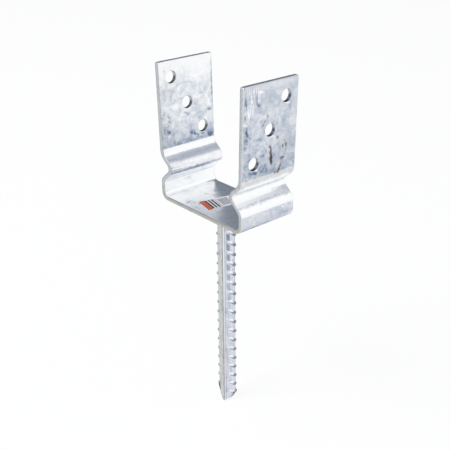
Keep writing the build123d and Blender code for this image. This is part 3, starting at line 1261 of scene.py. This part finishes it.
def build_bar_mesh(bar, length):
    """Points and faces of the bar, from the plate down and over its end, and what its material reads."""
    rows = ceil(length / bar.row_height)
    columns = bar.columns
    slope = tan(bar.rib_slant)
    points = []
    fields = {"cut": [], "around": [], "rise": [], "between": []}
    for row in range(rows + CAP_RINGS):
        height = -length * min(row / rows, 1.0)
        share = 1 - max(row - rows, 0) / CAP_RINGS
        for column in range(columns):
            turned = 2 * pi * column / columns
            radius = bar_surface(bar, turned, height)
            x, y = share * radius * cos(turned), share * radius * sin(turned)
            z, cut = cropped(bar, length, x, y, height)
            points.append((x, y, z))
            fields["cut"].append(cut)
            fields["around"].append(degrees(off_by(turned, 0.0)))
            fields["rise"].append(radius - bar.diameter / 2)
            fields["between"].append(abs(off_rib(bar, off_by(turned, 0.0), height, -slope)))
    rings = [range(first, first + columns) for first in range(0, len(points), columns)]
    faces = [face for above, below in zip(rings, rings[1:]) for face in joined(above, below)]
    tip = len(points)
    points.append((0.0, 0.0, cropped(bar, length, 0.0, 0.0, -length)[0]))
    for name, values in fields.items():
        values.append(1.0 if name == "cut" else 0.0)
    last = [*rings[-1], rings[-1][0]]
    faces += [(here, tip, after) for here, after in zip(last, last[1:])]
    faces.append(tuple(rings[0]))
    turn = Matrix.Rotation(bar.turn, 3, "Z")
    return [tuple(turn @ Vector(p)) for p in points], faces, fields


# The weld's radius counted in cells of its unevenness, and how far its crown wanders.
RADIUS_IN_CELLS = 3
CROWN_WANDER = 0.25 * MM

# Where the bead's hidden inner side lies, as a share of the core's radius, and about how high a ripple
# stands on average.
BEAD_INSIDE = 0.9
MEAN_RIPPLE = 0.7


def build_weld_mesh(weld, core):
    """Points, faces and ripple depths of the crowned bead round the bar."""
    columns, rows = weld.columns, weld.rows
    outward = Vector((1.0, -1.0)).normalized()
    upper, lower = Vector((core + weld.leg, 0.0)), Vector((core, -weld.leg))
    inner = core * BEAD_INSIDE
    points, valleys = [], []
    for column in range(columns):
        turned = 2 * pi * column / columns
        for row in range(rows + 1):
            share = row / rows
            bow = 4 * share * (1 - share)
            ripple = abs(sin((turned * weld.ripples - weld.ripple_lag * bow * pi) / 2))
            place = Vector((cos(turned) * RADIUS_IN_CELLS, sin(turned) * RADIUS_IN_CELLS, share))
            rise = weld.crown * bow + sqrt(bow) * weld.ripple_depth * (ripple - MEAN_RIPPLE)
            rise += CROWN_WANDER * noise.noise(place) * bow
            spot = upper.lerp(lower, share) + outward * rise
            points.append((spot.x * cos(turned), spot.x * sin(turned), min(spot.y, 0.0)))
            valleys.append((1 - ripple) ** 2)
        for depth in (-weld.leg, 0.0):
            points.append((inner * cos(turned), inner * sin(turned), depth))
            valleys.append(0.0)
    around = rows + 3
    loops = [range(first, len(points), around) for first in range(around)]
    pairs = zip(loops, loops[1:] + loops[:1])
    faces = [face for above, below in pairs for face in joined(above, below)]
    return points, faces, {"valley": valleys}


# The sticker's mesh cells, and the height and the cells of its faint creases.
STICKER_CELL = 0.5 * MM
CREASE = 0.03 * MM
CREASE_CELL = 6 * MM
CREASE_LAYER = 0.5


def build_sticker_mesh(sticker, top):
    """Points, faces and printing places of the sticker, lying on the plate at the given height."""
    columns, rows = round(sticker.width / STICKER_CELL), round(sticker.length / STICKER_CELL)
    turn = Matrix.Rotation(sticker.turn, 2)
    points, printing, faces = [], [], []
    for lift in (sticker.thickness, 0.0):
        for i in range(columns + 1):
            for j in range(rows + 1):
                across = sticker.width * (i / columns - 0.5)
                along = sticker.length * (j / rows - 0.5)
                lumps = noise.noise(Vector((across / CREASE_CELL, along / CREASE_CELL, CREASE_LAYER)))
                spot = turn @ Vector((across, along)) + Vector(sticker.place)
                points.append((spot.x, spot.y, top + lift * (1 + CREASE * lumps / sticker.thickness)))
                printing.append((across, along, lift))
    side = (columns + 1) * (rows + 1)

    def number(i, j):
        return i * (rows + 1) + j

    for i in range(columns):
        for j in range(rows):
            quad = (number(i, j), number(i + 1, j), number(i + 1, j + 1), number(i, j + 1))
            faces.append(quad)
            faces.append(tuple(k + side for k in reversed(quad)))
    rim = [number(i, 0) for i in range(columns)] + [number(columns, j) for j in range(rows)]
    rim += [number(i, rows) for i in range(columns, 0, -1)] + [number(0, j) for j in range(rows, 0, -1)]
    faces += joined(rim, [k + side for k in rim])
    return points, faces, {"print": printing}


class POSTBASE_OT_folded_strip(Operator):
    """Fold the galvanised strip from its flat blank"""

    bl_idname = "post_base.folded_strip"
    bl_label = "Folded strip"

    def execute(self, context):
        settings = context.scene.post_base
        holes = [mount for mount in frame["record"]["mounts"] if mount["kind"] == "bore"]
        blank = FoldedStrip(settings.strip, holes)
        blank.build()
        points = [blank.folded(s, y, n) for s, y, n, cut in blank.points]
        material = strip_material(settings.finish)
        faces, fields = blank.faces, blank.fields()
        new_piece("folded_strip", points, faces, fields, material, "saddle")
        return {"FINISHED"}


class POSTBASE_OT_ribbed_bar(Operator):
    """Roll the ribbed anchor bar and shear its end"""

    bl_idname = "post_base.ribbed_bar"
    bl_label = "Ribbed bar"

    def execute(self, context):
        settings = context.scene.post_base
        length_of_bar = -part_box("anchor_bar")[0].z
        points, faces, fields = build_bar_mesh(settings.bar, length_of_bar)
        material = bar_material(settings.finish)
        piece = new_piece("ribbed_bar", points, faces, fields, material, "anchor_bar")
        piece.data.set_sharp_from_angle(angle=SHARP_ANGLE)
        return {"FINISHED"}


class POSTBASE_OT_weld(Operator):
    """Lay the fillet weld round the bar under the base plate"""

    bl_idname = "post_base.weld"
    bl_label = "Weld"

    def execute(self, context):
        settings = context.scene.post_base
        points, faces, fields = build_weld_mesh(settings.weld, settings.bar.diameter / 2)
        new_piece("weld", points, faces, fields, weld_material(settings.finish), "weld_bead")
        return {"FINISHED"}


class POSTBASE_OT_sticker(Operator):
    """Lay the paper sticker on the base plate"""

    bl_idname = "post_base.sticker"
    bl_label = "Sticker"

    def execute(self, context):
        settings = context.scene.post_base
        plate_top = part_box("sticker")[0].z
        points, faces, fields = build_sticker_mesh(settings.sticker, plate_top)
        material = sticker_material(settings.sticker)
        piece = new_piece("paper_sticker", points, faces, fields, material, "sticker")
        piece.data.set_sharp_from_angle(angle=SHARP_ANGLE)
        return {"FINISHED"}


def add_camera(studio):
    """Camera at the photograph's viewing angle."""
    forward = Vector((
        -sin(studio.azimuth) * cos(studio.elevation),
        cos(studio.azimuth) * cos(studio.elevation),
        -sin(studio.elevation),
    ))
    level = Vector((cos(studio.azimuth), sin(studio.azimuth), 0.0))
    upright = level.cross(forward)
    right = cos(studio.roll) * level + sin(studio.roll) * upright
    up = cos(studio.roll) * upright - sin(studio.roll) * level
    lens = bpy.data.cameras.new("camera")
    lens.lens = studio.lens
    lens.clip_start = 0.01
    lens.clip_end = 50.0
    camera = new_object("camera", lens)
    place = right * studio.aim_right + up * studio.aim_up - forward * studio.distance
    turn = Matrix((right, up, -forward)).transposed().to_4x4()
    camera.matrix_world = Matrix.Translation(place) @ turn
    bpy.context.scene.camera = camera


def add_floor(studio, height):
    """Pale floor that is white behind the object and keeps a soft shadow."""
    half = studio.floor_size / 2
    corners = [(-half, -half, height), (half, -half, height), (half, half, height), (-half, half, height)]
    mesh = bpy.data.meshes.new("floor")
    mesh.from_pydata(corners, [], [(0, 1, 2, 3)])
    material = bpy.data.materials.new("studio floor")
    shader = Shader(material)
    rays = shader.add("ShaderNodeLightPath").outputs
    seen = shader.math("MAXIMUM", rays["Is Camera Ray"], rays["Is Glossy Ray"])
    seen = shader.math("MAXIMUM", seen, rays["Is Transmission Ray"])
    matt = shader.add("ShaderNodeBsdfDiffuse", {"Color": studio.floor})
    white = shader.add("ShaderNodeEmission", {"Color": WHITE, "Strength": 1.0})
    share = shader.times(seen, studio.backdrop_share)
    mixed = shader.add("ShaderNodeMixShader", {0: share, 1: matt.outputs[0], 2: white.outputs[0]})
    shader.add("ShaderNodeOutputMaterial", {"Surface": mixed.outputs[0]})
    mesh.materials.append(material)
    new_object("floor", mesh)


def lobe(shader, direction, middle, reach, edge):
    """1 in the directions within reach of a middle one and 0 outside them, with a soft edge."""
    towards = shader.dot(direction, Vector(middle).normalized())
    return shader.ramp(towards, cos(reach + edge), cos(reach - edge))


def beyond(shader, direction, side, softness, height=0.0):
    """1 in the directions that point well past a plane through the middle, with a soft change."""
    depth = shader.dot(direction, side)
    return shader.ramp(depth, height - softness, height + softness)


# Between these upward parts of a direction the horizon's light turns to the sky's.
ABOVE_HORIZON = (0.02, 0.22)


def on_white_wall(shader, direction, studio):
    """1 in the directions of the white wall, between its left and right edges and below its top."""
    left, right = studio.wall_left, studio.wall_right
    inside_left = beyond(shader, direction, (sin(left), -cos(left), 0.0), studio.wall_softness)
    inside_right = beyond(shader, direction, (-sin(right), cos(right), 0.0), studio.wall_softness)
    under_top = beyond(shader, direction, (0.0, 0.0, -1.0), studio.wall_softness, -sin(studio.wall_top))
    return shader.times(inside_left, inside_right, under_top)


def add_world(studio):
    """Studio light from all round: a pale horizon, a grey ceiling, one white wall and one dark flag."""
    world = bpy.data.worlds.new("studio")
    bpy.context.scene.world = world
    shader = Shader(world)
    direction = shader.add("ShaderNodeTexCoord").outputs["Generated"]
    above_horizon = shader.ramp(shader.split(direction)[2], *ABOVE_HORIZON)
    rays = shader.add("ShaderNodeLightPath").outputs
    light = shader.layered(
        studio.horizon,
        (above_horizon, studio.sky),
        (lobe(shader, direction, studio.flag_direction, studio.flag_reach, studio.flag_edge), studio.flag),
        (on_white_wall(shader, direction, studio), WHITE),
        (rays["Is Camera Ray"], WHITE),
    )
    background = shader.add("ShaderNodeBackground", {"Color": light, "Strength": 1.0})
    shader.add("ShaderNodeOutputWorld", {"Surface": background.outputs[0]})


def add_lamp(name, place, size, power):
    """Square soft box that faces the object."""
    light = bpy.data.lights.new(name, "AREA")
    light.shape = "SQUARE"
    light.size = size
    light.energy = power
    lamp = new_object(name, light)
    lamp.location = place
    lamp.rotation_mode = "QUATERNION"
    lamp.rotation_quaternion = (-Vector(place)).to_track_quat("-Z", "Y")


class POSTBASE_OT_stage(Operator):
    """Set up the floor, the studio light and the camera"""

    bl_idname = "post_base.stage"
    bl_label = "Stage"

    def execute(self, context):
        studio = context.scene.post_base.studio
        add_camera(studio)
        add_floor(studio, cad_low.z)
        add_world(studio)
        add_lamp("front soft box", studio.lamp_place, studio.lamp_size, studio.lamp_power)
        context.scene.view_settings.view_transform = "Standard"
        return {"FINISHED"}


OPERATORS = (
    POSTBASE_OT_folded_strip,
    POSTBASE_OT_ribbed_bar,
    POSTBASE_OT_weld,
    POSTBASE_OT_sticker,
    POSTBASE_OT_stage,
)


class POSTBASE_PT_panel(Panel):
    """Lists the post base's pieces and their sizes"""

    bl_label = "Timber Post Base"
    bl_idname = "POSTBASE_PT_panel"
    bl_space_type = "VIEW_3D"
    bl_region_type = "UI"
    bl_category = "Post Base"

    def draw(self, context):
        layout = self.layout
        for operator in OPERATORS:
            layout.operator(operator.bl_idname)
        settings = context.scene.post_base
        for group in ("strip", "bar", "weld", "sticker", "finish", "studio"):
            box = layout.box()
            box.label(text=group.capitalize())
            owner = getattr(settings, group)
            for name in owner.__annotations__:
                box.prop(owner, name)


CLASSES = (
    StripSettings,
    BarSettings,
    WeldSettings,
    StickerSettings,
    FinishSettings,
    StudioSettings,
    PostBaseSettings,
    *OPERATORS,
    POSTBASE_PT_panel,
)


def register():
    """Adds the classes and the scene's settings."""
    for item in CLASSES:
        bpy.utils.register_class(item)
    bpy.types.Scene.post_base = PointerProperty(type=PostBaseSettings)


def unregister():
    """Takes the settings and the classes away again."""
    del bpy.types.Scene.post_base
    for item in reversed(CLASSES):
        bpy.utils.unregister_class(item)


def main():
    """Builds every piece and the stage."""
    register()
    bpy.ops.post_base.folded_strip()
    bpy.ops.post_base.ribbed_bar()
    bpy.ops.post_base.weld()
    bpy.ops.post_base.sticker()
    bpy.ops.post_base.stage()


if __name__ == "__main__":
    main()
